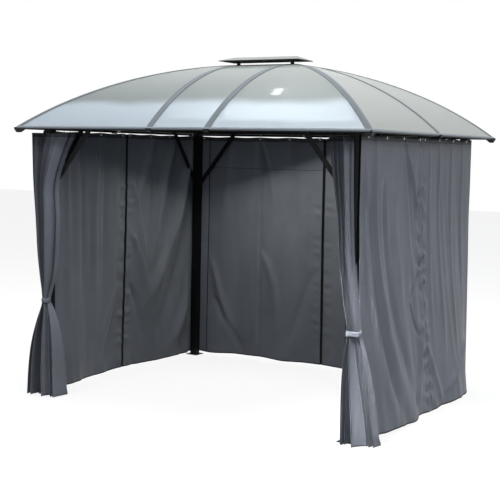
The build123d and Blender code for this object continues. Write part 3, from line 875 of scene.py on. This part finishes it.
# Gathered front curtains, from the hem up: height, left edge, right edge, middle depth, half depth
BUNDLE_SHAPES = {
    "left": [
        (0.008, -1.432, -1.134, -1.130, 0.088),
        (0.20, -1.424, -1.146, -1.129, 0.080),
        (0.44, -1.393, -1.168, -1.127, 0.062),
        (0.62, -1.344, -1.208, -1.125, 0.044),
        (0.70, -1.316, -1.242, -1.124, 0.034),
        (0.745, -1.306, -1.262, -1.124, 0.028),
        (0.80, -1.308, -1.258, -1.124, 0.030),
        (0.95, -1.330, -1.214, -1.122, 0.038),
        (1.10, -1.350, -1.198, -1.121, 0.043),
        (1.40, -1.376, -1.190, -1.120, 0.046),
        (1.68, -1.402, -1.198, -1.118, 0.046),
        (1.86, -1.420, -1.136, -1.116, 0.042),
        (2.048, -1.444, -1.046, -1.110, 0.036),
    ],
    "right": [
        (0.008, 1.300, 1.545, -1.150, 0.078),
        (0.20, 1.296, 1.520, -1.148, 0.076),
        (0.44, 1.292, 1.478, -1.142, 0.068),
        (0.62, 1.298, 1.432, -1.134, 0.052),
        (0.70, 1.306, 1.408, -1.128, 0.042),
        (0.745, 1.310, 1.396, -1.126, 0.036),
        (0.80, 1.304, 1.390, -1.126, 0.036),
        (0.95, 1.276, 1.372, -1.122, 0.040),
        (1.12, 1.250, 1.346, -1.121, 0.044),
        (1.57, 1.206, 1.316, -1.119, 0.048),
        (1.79, 1.170, 1.308, -1.117, 0.046),
        (2.048, 1.126, 1.304, -1.110, 0.038),
    ],
}

# Valleys between the pleats, as shares of the way across, at the heading, the tie and the hem
BUNDLE_VALLEYS = {
    "left": (
        (0.0, 0.12, 0.22, 0.36, 0.48, 0.88, 0.94, 1.0),
        (0.0, 0.09, 0.17, 0.24, 0.32, 0.66, 0.84, 1.0),
        (0.0, 0.15, 0.29, 0.36, 0.43, 0.78, 0.89, 1.0),
    ),
    "right": (
        (0.0, 0.10, 0.22, 0.32, 0.43, 0.54, 0.94, 1.0),
        (0.0, 0.10, 0.20, 0.30, 0.48, 0.58, 0.90, 1.0),
        (0.0, 0.06, 0.12, 0.18, 0.68, 0.76, 0.88, 1.0),
    ),
}

# How far each pleat comes forward, as shares of the half depth, above and below the tie
BUNDLE_CRESTS = {
    "left": ((0.8, 1.0, -0.6, 0.8, 1.1, -0.1, -0.2), (0.8, 0.9, -0.5, -0.5, 1.0, 0.7, 0.8)),
    "right": ((0.5, 0.8, 0.5, 0.8, 0.5, 1.1, 0.2), (0.6, 0.8, 0.5, 1.0, -0.1, 0.1, 0.0)),
}

# How far back each valley lies, in the same way
BUNDLE_DEPTHS = {
    "left": ((1.0, 1.6, 1.9, 1.9, 0.4, 0.3, 1.7, 1.0), (1.0, 1.0, 1.6, 1.7, 1.6, 0.5, 1.0, 1.0)),
    "right": ((1.0, 1.4, 1.5, 1.5, 1.4, 0.3, 0.4, 1.2), (1.0, 1.2, 1.2, 1.0, 0.3, 1.3, 1.1, 1.0)),
}

# Height of the small crumples below the tie, at the curtain's right edge
BUNDLE_CRUMPLE = {"left": 0.003, "right": 0.010}


def bundle_outline(name, level):
    """Left edge, right edge, middle depth and half depth of a gathered curtain at a level."""
    shape = np.array(BUNDLE_SHAPES[name])
    return [smooth_line(shape[:, (0, column)], np.array([level]))[0] for column in range(1, 5)]


def gathered_section(share, valleys, crests, depths):
    """Plan of pleated cloth for places from 0 to 1 across it: place between the edges and depth."""
    index = np.clip(np.searchsorted(valleys, share, side="right") - 1, 0, len(valleys) - 2)
    gap = valleys[index + 1] - valleys[index]
    turn = (share - valleys[index]) / gap
    reach = (2 * turn - 1) ** 2
    valley = -np.interp(share, valleys, depths)
    across = share + PLEAT_LEAN * gap * np.sin(2 * pi * turn)
    return across, crests[index] * (1 - reach) + valley * reach


def gathered_curtain(name):
    """Front curtain drawn aside: pleats that fall from the track, squeeze in the tie and flare below."""
    share = np.linspace(0, 1, BUNDLE_COLUMNS)
    levels = np.linspace(BUNDLE_SHAPES[name][-1][0], BUNDLE_SHAPES[name][0][0], BUNDLE_ROWS)
    at_heading, at_tie, at_hem = np.array(BUNDLE_VALLEYS[name])
    crests_above, crests_below = np.array(BUNDLE_CRESTS[name])
    depths_above, depths_below = np.array(BUNDLE_DEPTHS[name])
    points = []
    for level in levels:
        left, right, middle, half_deep = bundle_outline(name, level)
        if level > TIE_LEVEL:
            mix = smooth_step(TIE_LEVEL, levels[0], level)
            valleys = at_tie + (at_heading - at_tie) * mix
        else:
            mix = smooth_step(0.0, TIE_LEVEL, TIE_LEVEL - level)
            valleys = at_tie + (at_hem - at_tie) * mix
        mix = smooth_step(TIE_LEVEL - 0.1, TIE_LEVEL + 0.1, level)
        crests = crests_below + (crests_above - crests_below) * mix
        depths = depths_below + (depths_above - depths_below) * mix
        across, depth = gathered_section(share, valleys, crests, depths)
        flat_level = np.full_like(share, level)
        run = share * WRINKLE_RUN
        wrinkle = WRINKLE_HEIGHT * ripple_field(BUNDLE_SEED, run, flat_level, *WRINKLE_WAVES)
        crumpled = smooth_step(0.74, 0.84, share) * smooth_step(0.05, 0.25, TIE_LEVEL - level)
        crumples = ripple_field(BUNDLE_SEED + 1, run, flat_level, *CRUMPLE_WAVES)
        wrinkle += BUNDLE_CRUMPLE[name] * crumpled * crumples
        x = left + (right - left) * across
        y = middle - depth * half_deep + wrinkle
        points.append(np.stack([x, y, flat_level], axis=1))
    heading_rows = max(1, round(HEADING_BAND / (levels[0] - levels[1])))
    piece = make_piece(
        f"front_curtain_{name}_cloth",
        np.concatenate(points),
        grid_faces(BUNDLE_ROWS, BUNDLE_COLUMNS),
        [(place * BUNDLE_CLOTH_WIDTH, levels[0] - level) for level in levels for place in share],
        "curtain_fabric",
        heading_faces=heading_rows * (BUNDLE_COLUMNS - 1),
    )
    thicken(piece, CLOTH_THICKNESS)
    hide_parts(f"front_curtain_{name}")


def tie_strap(name):
    """Cloth strap pulled tight round a gathered curtain."""
    low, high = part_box("tie_backs")
    foot = low.z + STRAP_FOOT
    left, right, middle, half_deep = bundle_outline(name, TIE_LEVEL)
    points, uvs = [], []
    for row in range(STRAP_ROWS):
        share = row / (STRAP_ROWS - 1)
        bulge = STRAP_BULGE * sin(pi * share) + STRAP_GAP
        for step in range(STRAP_STEPS):
            angle = 2 * pi * step / STRAP_STEPS
            reach = bulge + sum(
                height * sin(angle * number + share * twist + start)
                for height, number, twist, start in STRAP_WRINKLES
            )
            x = (left + right) / 2 + ((right - left) / 2 + reach) * cos(angle)
            y = middle + (half_deep * STRAP_DEPTH_SHARE + reach) * sin(angle)
            z = foot + (high.z - foot) * share + STRAP_TILT * sin(3 * angle)
            points.append((x, y, z))
            uvs.append((step / STRAP_STEPS * STRAP_LENGTH, share * STRAP_WIDTH))
    return np.array(points), grid_faces(STRAP_ROWS, STRAP_STEPS, closed=True), np.array(uvs)


def dress_front():
    """The two tied front curtains with their straps and hooks."""
    for name in BUNDLE_SHAPES:
        gathered_curtain(name)
    straps = joined_piece("tie_straps", [tie_strap(name) for name in BUNDLE_SHAPES], "curtain_fabric")
    thicken(straps, STRAP_THICKNESS)
    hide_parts("tie_backs")
    low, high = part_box("curtain_hooks_front")
    track_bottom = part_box("curtain_tracks")[0].z
    heading_top = low.z - FRONT_HEADING_DROP
    y = (low.y + high.y) / 2
    hooks = []
    for name, side in (("left", -1), ("right", 1)):
        edges = BUNDLE_SHAPES[name][-1][1:3]
        inner = min(abs(edge) for edge in edges) + INNER_HOOK_INSET
        for x in np.linspace(high.x - OUTER_HOOK_INSET, inner, FRONT_HOOKS):
            hooks += hook_parts(side * x, y, Vector((0, -1, 0)), track_bottom, heading_top)
    piece = joined_piece("hooks_front", hooks, "hook_plastic")
    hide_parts("curtain_hooks_front")


# Studio


def add_floor():
    """Pale floor that looks white to the camera, keeps the shadow and throws little light back up."""
    bpy.ops.mesh.primitive_plane_add(size=FLOOR_SIZE, location=(0, 0, 0))
    floor = bpy.context.object
    floor.name = "studio_floor"
    finish = Finish("studio_floor")
    direct = finish.seen_directly()
    finish.set_shader(
        Base_Color=finish.add("MixRGB", "Color", direct, (*FLOOR_BOUNCE, 1), (*FLOOR_SEEN, 1)),
        Roughness=0.9,
    )
    glow = finish.add("Emission", "Emission", Color=(*WHITE, 1), Strength=1.0)
    share = finish.math("MULTIPLY", direct, FLOOR_GLOW)
    surface = finish.add("MixShader", "Shader", share, finish.shader.outputs["BSDF"], glow)
    finish.fill(finish.tree.nodes["Material Output"], "Surface", surface)
    floor.data.materials.append(finish.owner)


def add_surround():
    """Soft light from all round, which looks white to the camera."""
    world = bpy.data.worlds.new("studio")
    scene.world = world
    surround = Nodes(world)
    lit = surround.add("Background", "Background", (*SKY_COLOUR, 1), SKY_STRENGTH)
    seen = surround.add("Background", "Background", (*WHITE, 1), 1.0)
    surface = surround.add("MixShader", "Shader", surround.seen_directly(), lit, seen)
    surround.fill(surround.tree.nodes["World Output"], "Surface", surface)


def add_lamps():
    """Soft lamps that the camera doesn't see."""
    for name, (place, energy, width, length) in LAMPS.items():
        data = bpy.data.lights.new(name, "AREA")
        data.energy = energy
        data.color = VAULT_COLOUR if name == "vault" else WHITE
        data.shape = "RECTANGLE"
        data.size = width
        data.size_y = length
        target = LAMP_TARGET
        if name == "accent":
            data.spread = ACCENT_SPREAD
            target = ACCENT_TARGET
        lamp = bpy.data.objects.new(name, data)
        lamp.location = place
        lamp.visible_camera = False
        lamp.visible_glossy = name in MIRRORED_LAMPS
        back = (Vector(place) - target).normalized()
        side = (Vector((1, 0, 0)) - back * back.x).normalized()
        lamp.rotation_euler = Matrix((side, back.cross(side), back)).transposed().to_euler()
        scene.collection.objects.link(lamp)


add_camera()
dress_frame()
for wall in walls:
    dress_wall(wall)
add_tapes()
dress_front()
add_floor()
add_surround()
add_lamps()
scene.view_settings.view_transform = "Standard"
